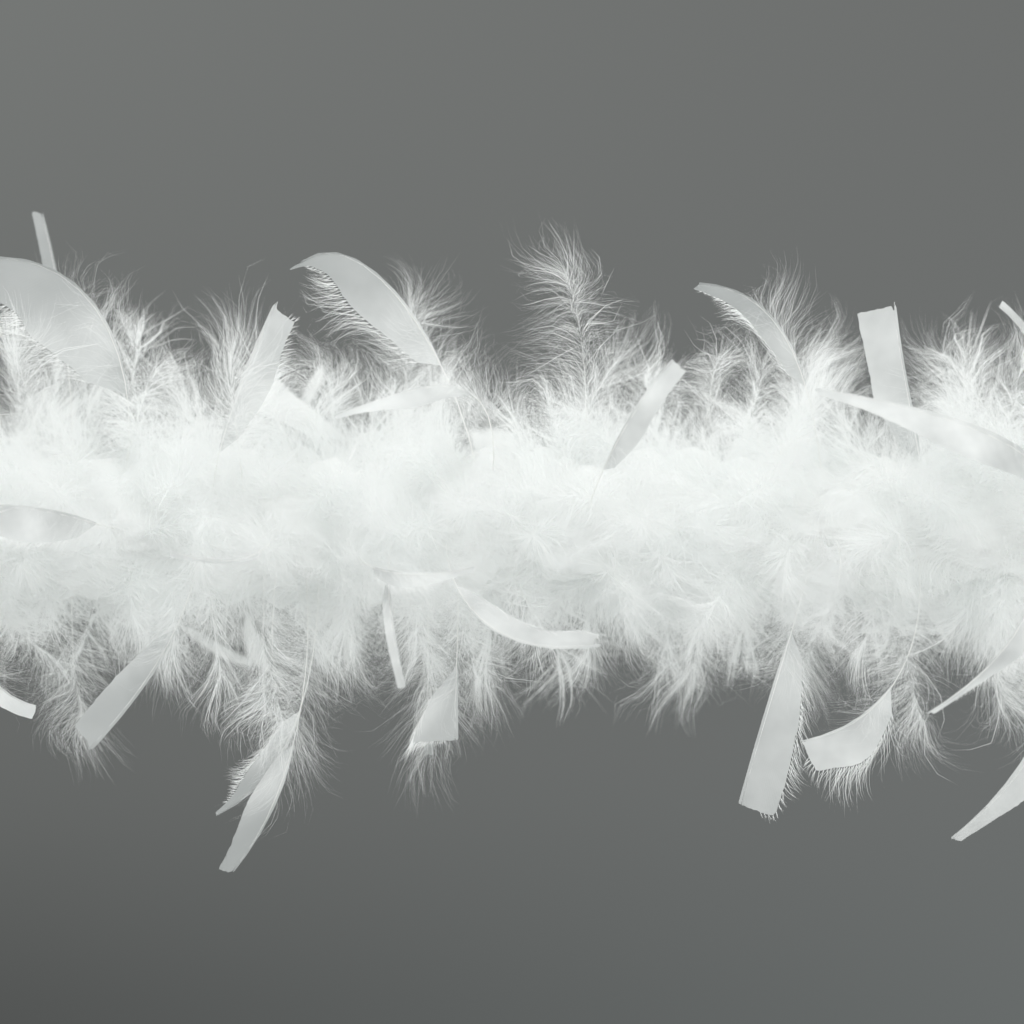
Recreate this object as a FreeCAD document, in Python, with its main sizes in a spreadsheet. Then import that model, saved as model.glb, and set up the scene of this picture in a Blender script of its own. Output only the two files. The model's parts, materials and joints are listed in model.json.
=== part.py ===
"""Feather boa, 1.83 m long: a twisted cord with turkey flat feathers bound to it all round.

Frame: +X runs along the cord, +Z is up, and the origin is the middle of the cord.
The limp cord is cut into equal segments that meet at bend points, numbered from the -X end.
Every segment holds a length of two-ply cord, the thread that binds the quills to it, the sleeve
of soft down packed round the cord, and the feathers whose flat vanes stand out of that down.
Each end of the cord is whipped with thread and turned back into a hang loop.
"""

import FreeCAD, Part
import math
import os

import Sketcher
from FreeCAD import Placement, Rotation, Vector

# Driving dimensions, in millimetres, degrees or plain counts.
SIZES = {
    "boa_length": 1830.0,
    "segment_count": 13,
    "segment_pitch": 136.0,
    "bend_gap": 3.2,
    "bend_limit": 60.0,
    "ply_radius": 0.75,
    "ply_offset": 0.78,
    "cord_pitch": 12.0,
    "strand_sides": 8,
    "cord_end_inset": 23.0,
    "thread_radius": 0.2,
    "thread_pitch": 8.0,
    "thread_clearance": 0.05,
    "sleeve_radius": 24.0,
    "sleeve_bore_radius": 2.2,
    "sleeve_rest_height": 21.0,
    "long_feather_reach": 102.0,
    "short_feather_reach": 84.0,
    "quill_start": 2.1,
    "quill_base_radius": 0.9,
    "quill_tip_radius": 0.3,
    "quill_tip_inset": 3.0,
    "vane_start": 30.0,
    "vane_base_width": 12.0,
    "vane_width": 46.0,
    "vane_shoulder": 26.0,
    "vane_corner_radius": 14.0,
    "vane_thickness": 0.3,
    "vane_camber_radius": 70.0,
    "stations_per_segment": 10,
    "feathers_per_station": 4,
    "station_turn": 25.0,
    "loop_bore_radius": 4.0,
    "loop_half_width": 0.9,
    "loop_depth": 1.8,
    "loop_neck_radius": 1.4,
    "whipping_length": 14.0,
    "whipping_thread_radius": 0.4,
    "whipping_clearance": 0.05,
    "whipping_turn_gap": 0.06,
}

FULL_TURN = 360.0
HALF_TURN = 180.0
CORD_AXIS = Vector(1, 0, 0)
UP = Vector(0, 0, 1)
# Turns a piece built along +Z so that it runs along the cord.
ALONG_CORD = Rotation(Vector(0, 1, 0), 90)
TRIM_MARGIN = 10.0


# ---------------------------------------------------------------- document helpers


def make_sheet(doc):
    """The spreadsheet that every sub-part reads its sizes from."""
    sheet = doc.addObject("Spreadsheet::Sheet", "Sizes")
    for row, (alias, value) in enumerate(SIZES.items(), start=1):
        sheet.set(f"A{row}", alias)
        sheet.set(f"B{row}", str(value))
        sheet.setAlias(f"B{row}", alias)
    doc.recompute()
    return sheet


def size_of(sheet, formula):
    """The present value of a formula over the sheet's cells."""
    return float(sheet.evalExpression(formula))


def make_body(doc, label):
    body = doc.addObject("PartDesign::Body", label)
    body.Label = label
    return body


def make_sketch(body, name, role):
    """A sketch on one of the body's own origin planes."""
    plane = next(f for f in body.Origin.OriginFeatures if f.Role == role)
    sketch = body.newObject("Sketcher::SketchObject", name)
    sketch.AttachmentSupport = (plane, [""])
    sketch.MapMode = "FlatFace"
    return sketch


def bind(sketch, kind, places, value, formula):
    """Add one dimension to a sketch and bind it to a formula over the sheet."""
    index = sketch.addConstraint(Sketcher.Constraint(kind, *places, value))
    sketch.setExpression(f"Constraints[{index}]", formula)


def arc_between(start, end, radius, centre):
    """The shorter arc about a centre, and which of its ends lies at start."""
    circle = Part.Circle(centre, UP, radius)
    from_angle = circle.parameter(start)
    to_angle = circle.parameter(end)
    if (to_angle - from_angle) % math.tau <= math.pi:
        return Part.ArcOfCircle(circle, from_angle, to_angle), 1
    return Part.ArcOfCircle(circle, to_angle, from_angle), 2


def add_outline(sheet, sketch, corners, arcs=None):
    """A closed outline through corners, each a pair of formulas for its place.

    arcs maps the number of the corner that an arc starts from to the formulas of the arc's
    radius and of its centre's place; every other side is straight.
    """
    arcs = arcs or {}
    points = [Vector(size_of(sheet, a), size_of(sheet, b), 0) for a, b in corners]
    sides = []
    for i, start in enumerate(points):
        end = points[(i + 1) % len(points)]
        if i in arcs:
            radius, across, up = arcs[i]
            centre = Vector(size_of(sheet, across), size_of(sheet, up), 0)
            curve, near_end = arc_between(start, end, size_of(sheet, radius), centre)
            side = sketch.addGeometry(curve)
            bind(sketch, "Radius", (side,), size_of(sheet, radius), radius)
            sides.append((side, near_end))
        else:
            sides.append((sketch.addGeometry(Part.LineSegment(start, end)), 1))
    for i, (side, near_end) in enumerate(sides):
        last, last_near_end = sides[i - 1]
        joined = (last, 3 - last_near_end, side, near_end)
        sketch.addConstraint(Sketcher.Constraint("Coincident", *joined))
        across, up = corners[i]
        bind(sketch, "DistanceX", (-1, 1, side, near_end), points[i].x, across)
        bind(sketch, "DistanceY", (-1, 1, side, near_end), points[i].y, up)


def revolve(body, sketch, axis, name="Turned"):
    feature = body.newObject("PartDesign::Revolution", name)
    feature.Profile = sketch
    feature.ReferenceAxis = (sketch, [axis])
    feature.Angle = FULL_TURN
    return feature


def cut_through(doc, body, sketch):
    """Pocket a sketch through everything, both ways, and make sure that it cut."""
    doc.recompute()
    before = body.Shape.Volume
    pocket = body.newObject("PartDesign::Pocket", "Trimmed")
    pocket.Profile = sketch
    pocket.Type = "ThroughAll"
    pocket.Midplane = True
    doc.recompute()
    if not 0 < body.Shape.Volume < before:
        raise RuntimeError(f"the pocket in {body.Label} cut nothing")
    return pocket


def make_coil(doc, name, coil):
    """An eight-sided strand wound about +Z, from formulas for its radii, pitch and length."""
    spine = doc.addObject("Part::Helix", f"{name}_path")
    spine.setExpression("Radius", coil["winding_radius"])
    spine.setExpression("Pitch", coil["pitch"])
    spine.setExpression("Height", coil["length"])
    section = doc.addObject("Part::RegularPolygon", f"{name}_section")
    section.setExpression("Polygon", "Sizes.strand_sides")
    section.setExpression("Circumradius", coil["strand_radius"])
    section.setExpression("Placement.Base.x", coil["winding_radius"])
    # The section faces along the helix, whose lean from +Z follows from its pitch.
    section.Placement.Rotation = Rotation(CORD_AXIS, -1)
    lean = f"atan(2 * pi * ({coil['winding_radius']}) / ({coil['pitch']}))"
    section.setExpression("Placement.Rotation.Angle", f"-({lean})")
    strand = doc.addObject("Part::Sweep", f"{name}_strand")
    strand.Sections = [section]
    strand.Spine = (spine, [])
    strand.Solid = True
    strand.Frenet = True
    return strand


# ---------------------------------------------------------------- places along the boa


def segment_names(sheet):
    """(number, label suffix, place of the middle) of each segment, from the -X end."""
    count = int(size_of(sheet, "Sizes.segment_count"))
    pitch = size_of(sheet, "Sizes.segment_pitch")
    for number in range(count):
        yield number, f"{number + 1:02d}", (number - (count - 1) / 2) * pitch


def end_sides():
    """(name, rotation that carries the +X end of the boa to this end)."""
    yield "right", Rotation(UP, 0)
    yield "left", Rotation(UP, HALF_TURN)


# ---------------------------------------------------------------- sub-parts


CORD_LENGTH = "Sizes.segment_pitch - Sizes.bend_gap"
LAST_BEND = "(Sizes.segment_count / 2 - 1) * Sizes.segment_pitch"
END_CORD_LENGTH = (
    f"Sizes.boa_length / 2 - Sizes.cord_end_inset - {LAST_BEND} - Sizes.bend_gap / 2"
)
CORD_RADIUS = "Sizes.ply_offset + Sizes.ply_radius"


def make_cord(doc, sheet, number, suffix, middle):
    """Two plies twisted round each other, stopping short of the bend points."""
    count = int(size_of(sheet, "Sizes.segment_count"))
    is_end = number in (0, count - 1)
    length = END_CORD_LENGTH if is_end else CORD_LENGTH
    plies = []
    for letter, turn in (("a", 0), ("b", HALF_TURN)):
        ply = make_coil(
            doc,
            f"ply_{letter}_{suffix}",
            {
                "strand_radius": "Sizes.ply_radius",
                "winding_radius": "Sizes.ply_offset",
                "pitch": "Sizes.cord_pitch",
                "length": length,
            },
        )
        ply.Placement = Placement(Vector(), Rotation(UP, turn))
        plies.append(ply)
    cord = doc.addObject("Part::Compound", f"cord_{suffix}")
    cord.Links = plies
    inner_end = size_of(sheet, f"({CORD_LENGTH}) / 2")
    if number == 0:
        facing = Rotation(UP, HALF_TURN) * ALONG_CORD
        cord.Placement = Placement(Vector(middle + inner_end, 0, 0), facing)
    else:
        cord.Placement = Placement(Vector(middle - inner_end, 0, 0), ALONG_CORD)
    return cord


def make_binding_thread(doc, sheet, suffix, middle):
    """The thin thread wound over the quills to hold them to the cord."""
    thread = make_coil(
        doc,
        f"binding_{suffix}",
        {
            "strand_radius": "Sizes.thread_radius",
            "winding_radius": f"{CORD_RADIUS} + Sizes.thread_radius + Sizes.thread_clearance",
            "pitch": "Sizes.thread_pitch",
            "length": CORD_LENGTH,
        },
    )
    start = middle - size_of(sheet, f"({CORD_LENGTH}) / 2")
    thread.Label = f"binding_thread_{suffix}"
    thread.Placement = Placement(Vector(start, 0, 0), ALONG_CORD)
    return thread


def make_down_sleeve(doc, sheet, suffix, middle):
    """Down packed round the cord: a barrel whose coned ends leave room for a full bend.

    A cone that rises from the bend point at half the bend's limit away from square just meets
    its neighbour when the cord is bent to that limit. The underside is pressed flat.
    """
    cone = "tan(Sizes.bend_limit / 2)"
    half = "Sizes.segment_pitch / 2 - Sizes.bend_gap / 2"
    narrow = f"({half} - Sizes.sleeve_bore_radius * {cone})"
    wide = f"({half} - Sizes.sleeve_radius * {cone})"
    body = make_body(doc, f"down_sleeve_{suffix}")
    profile = make_sketch(body, "Barrel", "XZ_Plane")
    corners = [
        (f"-{narrow}", "Sizes.sleeve_bore_radius"),
        (narrow, "Sizes.sleeve_bore_radius"),
        (wide, "Sizes.sleeve_radius"),
        (f"-{wide}", "Sizes.sleeve_radius"),
    ]
    add_outline(sheet, profile, corners)
    revolve(body, profile, "H_Axis")
    flat = make_sketch(body, "Underside", "XZ_Plane")
    below = "-2 * Sizes.sleeve_radius"
    corners = [
        ("-Sizes.segment_pitch", below),
        ("Sizes.segment_pitch", below),
        ("Sizes.segment_pitch", "-Sizes.sleeve_rest_height"),
        ("-Sizes.segment_pitch", "-Sizes.sleeve_rest_height"),
    ]
    add_outline(sheet, flat, corners)
    cut_through(doc, body, flat)
    body.Placement.Base = Vector(middle, 0, 0)
    return body


def make_feather(doc, sheet, name, feather_reach):
    """One turkey flat standing up +Z: a tapered quill and a cambered vane with a squared tip."""
    body = make_body(doc, name)
    thickness = "Sizes.vane_thickness / 2"
    centre = ("0", "-Sizes.vane_camber_radius")
    outer = f"Sizes.vane_camber_radius + {thickness}"
    inner = f"Sizes.vane_camber_radius - {thickness}"
    reach = "Sizes.vane_width / 2 + 1"
    drop_outer = f"sqrt(({outer})^2 - ({reach})^2) - Sizes.vane_camber_radius"
    drop_inner = f"sqrt(({inner})^2 - ({reach})^2) - Sizes.vane_camber_radius"
    camber = make_sketch(body, "Camber", "XY_Plane")
    corners = [
        (f"-({reach})", drop_inner),
        (reach, drop_inner),
        (reach, drop_outer),
        (f"-({reach})", drop_outer),
    ]
    arcs = {0: (inner, *centre), 2: (outer, *centre)}
    add_outline(sheet, camber, corners, arcs)
    blade = body.newObject("PartDesign::Pad", "Blade")
    blade.Profile = camber
    blade.setExpression("Length", feather_reach)

    half = "Sizes.vane_width / 2"
    base = "Sizes.vane_base_width / 2"
    corner = "Sizes.vane_corner_radius"
    shoulder = "Sizes.vane_start + Sizes.vane_shoulder"
    below_corner = f"{feather_reach} - {corner}"
    outline = make_sketch(body, "Outline", "XZ_Plane")
    margin = f"{half} + {TRIM_MARGIN}"
    corners = [
        (f"-({margin})", f"-{TRIM_MARGIN}"),
        (margin, f"-{TRIM_MARGIN}"),
        (margin, f"{feather_reach} + {TRIM_MARGIN}"),
        (f"-({margin})", f"{feather_reach} + {TRIM_MARGIN}"),
    ]
    add_outline(sheet, outline, corners)
    corners = [
        (f"-{base}", "Sizes.vane_start"),
        (base, "Sizes.vane_start"),
        (half, shoulder),
        (half, below_corner),
        (f"{half} - {corner}", feather_reach),
        (f"-({half} - {corner})", feather_reach),
        (f"-{half}", below_corner),
        (f"-{half}", shoulder),
    ]
    arcs = {
        3: (corner, f"{half} - {corner}", below_corner),
        5: (corner, f"-({half} - {corner})", below_corner),
    }
    add_outline(sheet, outline, corners, arcs)
    cut_through(doc, body, outline)

    shaft = make_sketch(body, "Shaft", "XZ_Plane")
    tip = f"{feather_reach} - Sizes.quill_tip_inset"
    corners = [
        ("0", "Sizes.quill_start"),
        ("Sizes.quill_base_radius", "Sizes.quill_start"),
        ("Sizes.quill_tip_radius", tip),
        ("0", tip),
    ]
    add_outline(sheet, shaft, corners)
    revolve(body, shaft, "V_Axis", "Quill")
    return body


def make_feathers(doc, sheet, patterns, number, suffix, middle):
    """The feathers bound to one segment, in rings that turn a little from one to the next.

    The rings take the feather patterns in turn, counted from the -X end of the boa.
    """
    pitch = size_of(sheet, "Sizes.segment_pitch")
    stations = int(size_of(sheet, "Sizes.stations_per_segment"))
    around = int(size_of(sheet, "Sizes.feathers_per_station"))
    turn = size_of(sheet, "Sizes.station_turn")
    solids = []
    for station in range(stations):
        place = Vector((station + 0.5) * pitch / stations - pitch / 2, 0, 0)
        ring = number * stations + station
        feather = patterns[ring % len(patterns)]
        for i in range(around):
            facing = Rotation(CORD_AXIS, ring * turn + i * FULL_TURN / around)
            copy = feather.Shape.copy()
            copy.Placement = Placement(place, facing)
            solids.append(copy)
    group = doc.addObject("Part::Feature", f"feathers_{suffix}")
    group.Shape = Part.makeCompound(solids)
    group.Placement = Placement(Vector(middle, 0, 0), Rotation())
    return group


def make_hang_loop(doc, sheet, side, facing):
    """The end of the cord turned back into an eye, with a round hole along Y and a short neck."""
    body = make_body(doc, f"hang_loop_{side}")
    bore = "Sizes.loop_bore_radius"
    half = "Sizes.loop_half_width"
    depth = "Sizes.loop_depth"
    # The cord's section is flat against the bore and round outside.
    crown = f"(({half})^2 + ({depth})^2) / (2 * {depth})"
    eye = make_sketch(body, "Eye", "XY_Plane")
    corners = [(bore, f"-{half}"), (f"{bore} + {depth}", "0"), (bore, half)]
    centre = (f"{bore} + {depth} - {crown}", "0")
    arcs = {0: (crown, *centre), 1: (crown, *centre)}
    add_outline(sheet, eye, corners, arcs)
    revolve(body, eye, "V_Axis")

    outside = f"{bore} + {depth}"
    neck_end = f"Sizes.cord_end_inset - {outside} - Sizes.bend_gap / 2"
    neck = make_sketch(body, "Neck", "XZ_Plane")
    corners = [
        (f"-({neck_end})", "0"),
        (f"-({outside} - {depth} / 2)", "0"),
        (f"-({outside} - {depth} / 2)", half),
        (f"-({outside} + {depth})", "Sizes.loop_neck_radius"),
        (f"-({neck_end})", "Sizes.loop_neck_radius"),
    ]
    add_outline(sheet, neck, corners)
    revolve(body, neck, "H_Axis", "NeckTurned")
    middle = Vector(size_of(sheet, f"Sizes.boa_length / 2 - ({outside})"), 0, 0)
    body.Placement = Placement(facing.multVec(middle), facing)
    return body


def make_whipping(doc, sheet, side, facing):
    """Close turns of thread that bind the loop's neck to the end of the cord."""
    thread = make_coil(
        doc,
        f"whipping_coil_{side}",
        {
            "strand_radius": "Sizes.whipping_thread_radius",
            "winding_radius": f"{CORD_RADIUS} + Sizes.whipping_thread_radius"
            " + Sizes.whipping_clearance",
            "pitch": "2 * Sizes.whipping_thread_radius + Sizes.whipping_turn_gap",
            "length": "Sizes.whipping_length",
        },
    )
    cord_end = "Sizes.boa_length / 2 - Sizes.cord_end_inset"
    start = Vector(size_of(sheet, f"{cord_end} - Sizes.whipping_length / 2"), 0, 0)
    thread.Label = f"whipping_{side}"
    thread.Placement = Placement(facing.multVec(start), facing * ALONG_CORD)
    return thread


# ---------------------------------------------------------------- checks and export


def check_and_export(doc, sub_parts):
    """Stop at the first object that failed to build, then write one STEP file a sub-part."""
    doc.recompute()
    for item in doc.Objects:
        if {"Invalid", "Error"} & set(item.State):
            raise RuntimeError(f"{item.Label} failed to build: {item.State}")
    for item in sub_parts:
        if item.Shape.isNull() or not item.Shape.isValid():
            raise RuntimeError(f"{item.Label} has no valid shape")
        if not item.Shape.Solids:
            raise RuntimeError(f"{item.Label} holds no solid")
    os.makedirs("parts", exist_ok=True)
    for item in sub_parts:
        item.Shape.exportStep(f"parts/{item.Label}.step")


def main():
    doc = FreeCAD.newDocument("feather_boa")
    sheet = make_sheet(doc)
    patterns = [
        make_feather(doc, sheet, "long_feather", "Sizes.long_feather_reach"),
        make_feather(doc, sheet, "short_feather", "Sizes.short_feather_reach"),
    ]
    doc.recompute()
    sub_parts = []
    for number, suffix, middle in segment_names(sheet):
        sub_parts.append(make_cord(doc, sheet, number, suffix, middle))
        sub_parts.append(make_binding_thread(doc, sheet, suffix, middle))
        sub_parts.append(make_down_sleeve(doc, sheet, suffix, middle))
        sub_parts.append(make_feathers(doc, sheet, patterns, number, suffix, middle))
    for side, facing in end_sides():
        sub_parts.append(make_hang_loop(doc, sheet, side, facing))
        sub_parts.append(make_whipping(doc, sheet, side, facing))
    check_and_export(doc, sub_parts)


main()
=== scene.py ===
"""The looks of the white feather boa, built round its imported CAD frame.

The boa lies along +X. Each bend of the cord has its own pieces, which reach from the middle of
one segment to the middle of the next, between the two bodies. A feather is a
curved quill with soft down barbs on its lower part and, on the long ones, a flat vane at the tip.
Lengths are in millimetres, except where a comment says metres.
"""

import json
import math

import bpy
import numpy as np
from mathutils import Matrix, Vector

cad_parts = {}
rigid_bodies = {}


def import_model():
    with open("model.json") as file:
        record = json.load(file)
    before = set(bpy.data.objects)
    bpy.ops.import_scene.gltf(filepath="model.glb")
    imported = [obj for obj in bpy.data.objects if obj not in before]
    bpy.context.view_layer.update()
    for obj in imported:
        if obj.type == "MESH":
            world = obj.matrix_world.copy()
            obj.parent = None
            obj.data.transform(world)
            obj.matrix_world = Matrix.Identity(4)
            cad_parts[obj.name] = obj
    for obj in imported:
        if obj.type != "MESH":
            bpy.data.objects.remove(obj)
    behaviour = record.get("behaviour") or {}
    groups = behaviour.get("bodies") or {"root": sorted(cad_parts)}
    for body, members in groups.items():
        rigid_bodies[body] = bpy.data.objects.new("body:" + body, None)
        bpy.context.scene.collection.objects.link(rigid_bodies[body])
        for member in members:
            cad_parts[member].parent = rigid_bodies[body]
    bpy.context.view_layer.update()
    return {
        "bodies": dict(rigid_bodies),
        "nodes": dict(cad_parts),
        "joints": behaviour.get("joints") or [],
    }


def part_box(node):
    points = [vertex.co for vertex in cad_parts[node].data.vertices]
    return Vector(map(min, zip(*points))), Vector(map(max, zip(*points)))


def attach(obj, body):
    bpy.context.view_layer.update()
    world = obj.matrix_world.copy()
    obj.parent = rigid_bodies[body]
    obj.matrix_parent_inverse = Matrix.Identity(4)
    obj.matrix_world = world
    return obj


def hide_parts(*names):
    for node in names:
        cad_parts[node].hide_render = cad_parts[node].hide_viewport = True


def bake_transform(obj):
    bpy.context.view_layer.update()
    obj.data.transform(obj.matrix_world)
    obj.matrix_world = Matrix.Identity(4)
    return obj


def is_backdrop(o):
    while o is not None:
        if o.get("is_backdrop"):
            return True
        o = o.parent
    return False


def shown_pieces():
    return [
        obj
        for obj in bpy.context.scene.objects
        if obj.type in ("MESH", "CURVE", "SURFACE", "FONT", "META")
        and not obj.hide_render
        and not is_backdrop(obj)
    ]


MM = 0.001
SEED = 20
TAU = math.tau

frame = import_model()

# ---- places taken from the frame

BENDS = sorted(frame["joints"], key=lambda joint: joint["pos_m"][0])
BEND_X = [joint["pos_m"][0] / MM for joint in BENDS]
PITCH = BEND_X[1] - BEND_X[0]
SEGMENTS = sorted(frame["bodies"])
CORD_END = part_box("cord_13")[1].x / MM
SLEEVE_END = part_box("down_sleeve_13")[1].x / MM
CORD_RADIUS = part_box("cord_07")[1].z / MM

# ---- sizes of the soft parts

SHARP_HALF_WIDTH = 192.0  # either side of the middle, where barbs are finest
FRONT_HALF_WIDTH = 178.0  # either side of the middle, where the front's feathers are listed one by one
REACH_LIMIT = 106.0  # from the cord's axis to the tip of any flat set at random
MAX_PIECE_FACES = 190_000  # triangles in any one piece
RACHIS_SAMPLES = 14  # places along a quill
BARB_STEPS = 4  # straight lengths in a barb


# ---- small vector helpers


def unit(v):
    """Vectors made one long."""
    return v / np.maximum(np.linalg.norm(v, axis=-1, keepdims=True), 1e-9)


def turn_about(v, axis, angle):
    """Rotate vectors about unit axes by angles, all arrays that broadcast together."""
    c, s = np.cos(angle)[..., None], np.sin(angle)[..., None]
    along = np.sum(v * axis, axis=-1, keepdims=True)
    return v * c + np.cross(axis, v) * s + axis * along * (1 - c)


def square_to(v, direction):
    """The part of v that is square to a unit direction, as a unit vector."""
    return unit(v - np.sum(v * direction, axis=-1, keepdims=True) * direction)


def smooth(x, low, high):
    """A soft step from 0 at low to 1 at high."""
    t = np.clip((x - low) / (high - low), 0, 1)
    return t * t * (3 - 2 * t)


def random_units(rng, count):
    return unit(rng.normal(size=(count, 3)))


def outward_at(angle):
    """Unit vectors square to the cord, at angles round it."""
    return np.stack([0 * angle, np.cos(angle), np.sin(angle)], axis=-1)


class Drift:
    """A smooth random push that varies over a few centimetres, so neighbouring barbs agree."""

    def __init__(self, waves, wavelength):
        rng = np.random.default_rng(SEED)
        self.push = rng.normal(0, (2 / waves) ** 0.5, (waves, 3))
        heading = random_units(rng, waves)
        self.wave = heading * TAU / (wavelength * rng.uniform(0.6, 1.6, (waves, 1)))
        self.phase = rng.uniform(0, TAU, waves)

    def at(self, points):
        return np.sin(points @ self.wave.T + self.phase) @ self.push


AIR = Drift(10, 34.0)  # moves barbs
LUMPS = Drift(12, 24.0)  # the broad lumps of the down
TUFTS = Drift(16, 7.0)  # and its small tufts


# ---- meshes


class Sheet:
    """Gathers quads and triangles, with a map coordinate and a shade at each vertex."""

    def __init__(self):
        self.points, self.maps, self.shades, self.quads, self.tris = [], [], [], [], []
        self.count = 0

    def add(self, points, u, v, shade, quads, tris=()):
        u, v, shade = (np.broadcast_to(value, points.shape[:-1]) for value in (u, v, shade))
        self.points.append(np.asarray(points, np.float32).reshape(-1, 3))
        self.maps.append(np.stack([u, v], axis=-1).astype(np.float32).reshape(-1, 2))
        self.shades.append(shade.astype(np.float32).ravel())
        self.quads.append(np.asarray(quads, np.int64).reshape(-1, 4) + self.count)
        self.tris.append(np.asarray(tris, np.int64).reshape(-1, 3) + self.count)
        self.count += len(self.points[-1])

    def faces(self):
        """How many triangles the sheet comes to."""
        return 2 * sum(map(len, self.quads)) + sum(map(len, self.tris))


MAP_NAME = "OFBake"
LANES = 64  # strips of the map that ribbons are laid out in


def build_mesh(name, sheet):
    """A sheet as a Blender mesh, in metres."""
    points = np.concatenate(sheet.points) * MM
    maps = np.concatenate(sheet.maps)
    quads = np.concatenate(sheet.quads)
    tris = np.concatenate(sheet.tris)
    corners = np.concatenate([quads.ravel(), tris.ravel()])
    totals = np.concatenate([np.full(len(quads), 4), np.full(len(tris), 3)])
    starts = np.concatenate([[0], np.cumsum(totals)[:-1]])
    mesh = bpy.data.meshes.new(name)
    mesh.vertices.add(len(points))
    mesh.loops.add(len(corners))
    mesh.polygons.add(len(totals))
    mesh.vertices.foreach_set("co", points.ravel())
    mesh.loops.foreach_set("vertex_index", corners.astype(np.int32))
    mesh.polygons.foreach_set("loop_start", starts.astype(np.int32))
    mesh.polygons.foreach_set("loop_total", totals.astype(np.int32))
    mesh.polygons.foreach_set("use_smooth", np.ones(len(totals), bool))
    layer = mesh.uv_layers.new(name=MAP_NAME)
    layer.data.foreach_set("uv", maps[corners].ravel())
    shade = mesh.attributes.new("shade", "FLOAT", "POINT")
    shade.data.foreach_set("value", np.concatenate(sheet.shades))
    mesh.update(calc_edges=True)
    return mesh


def add_object(name, data):
    """A new object in the scene."""
    made = bpy.data.objects.new(name, data)
    bpy.context.scene.collection.objects.link(made)
    return made


def build_piece(name, sheet, zone, material, nodes):
    """Finish a piece that rides on one of the zone's bodies, or lies between two of them."""
    sheet.faces()
    piece = add_object(name, build_mesh(name, sheet))
    piece.data.materials.append(material)
    if zone["right"] is None:
        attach(piece, zone["left"])
    else:
        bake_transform(piece)
    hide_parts(*nodes)


def add_ribbons(sheet, spines, widths, rng):
    """Flat tapered ribbons, one a spine, that end in a point. spines is (ribbons, steps, 3)."""
    count, steps = spines.shape[:2]
    along = unit(np.gradient(spines, axis=1))
    across = square_to(random_units(rng, count)[:, None, :], along)
    half = widths[..., None] * across / 2
    left, right = (spines - half)[:, :-1], (spines + half)[:, :-1]
    points = np.concatenate([left, right, spines[:, -1:]], axis=1)
    n = steps - 1
    base = (np.arange(count) * (2 * n + 1))[:, None]
    i = np.arange(n - 1)[None, :]
    quads = np.stack([base + i, base + n + i, base + n + i + 1, base + i + 1], axis=-1)
    tip = np.stack([base + n - 1, base + 2 * n - 1, base + 2 * n], axis=-1)
    t = np.linspace(0, 1, steps)
    lane = rng.integers(0, LANES, count)[:, None] / LANES
    u = np.concatenate([t[:-1], t[:-1], t[-1:]])
    v = lane + np.concatenate([np.full(n, 0.1), np.full(n, 0.9), [0.5]]) / LANES
    sheet.add(points, u, v, rng.random((count, 1)), quads, tip)


OFF_AXIS = (0.31, 0.17, 0.93)  # a direction that no tube runs along


def add_tubes(sheet, spines, radii, sides, rng):
    """Round tubes, one a spine, with the given radius at each step, open at both ends."""
    count, steps = spines.shape[:2]
    along = unit(np.gradient(spines, axis=1))
    first = square_to(np.array(OFF_AXIS) + 0 * along, along)
    second = np.cross(along, first)
    angle = np.arange(sides) * TAU / sides
    ring = np.cos(angle)[:, None] * first[:, :, None] + np.sin(angle)[:, None] * second[:, :, None]
    points = spines[:, :, None, :] + radii[:, :, None, None] * ring
    base = (np.arange(count) * steps * sides)[:, None, None]
    i, k = np.arange(steps - 1)[None, :, None], np.arange(sides)[None, None, :]
    after = (k + 1) % sides
    near, far = base + i * sides, base + (i + 1) * sides
    quads = np.stack([near + k, near + after, far + after, far + k], axis=-1)
    u, v = np.linspace(0, 1, steps)[:, None], np.arange(sides) / sides
    sheet.add(points, u, v, rng.random((count, 1, 1)), quads)


def grid(rows, columns):
    """The corners of the quads between rows and columns of points."""
    index = np.arange(rows * columns).reshape(rows, columns)
    return np.stack([index[:-1, :-1], index[:-1, 1:], index[1:, 1:], index[1:, :-1]], axis=-1)


# ---- quills


# How feathers set at random grow: a range of length, a spread of lean along the cord, and a
# mean and spread of the bend from root to tip, in radians.
SHORT_GROWTH = {"length": (34, 58), "lean": 0.5, "curl": (0.3, 0.7)}
LONG_GROWTH = {"length": (72, 100), "lean": 0.35, "curl": (0, 0.55)}
TWIST = 0.5  # radians that a quill turns about itself from root to tip

# How much of a quill's length its shaft is drawn for, and the shaft's radius at the root.
SHORT_SHAFT = {"share": 0.7, "radius": 0.22}
LONG_SHAFT = {"share": 0.97, "radius": 0.38}
FRONT_SHAFT = {"share": 0.97, "radius": 0.26}
SHAFT_SIDES = 4


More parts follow.
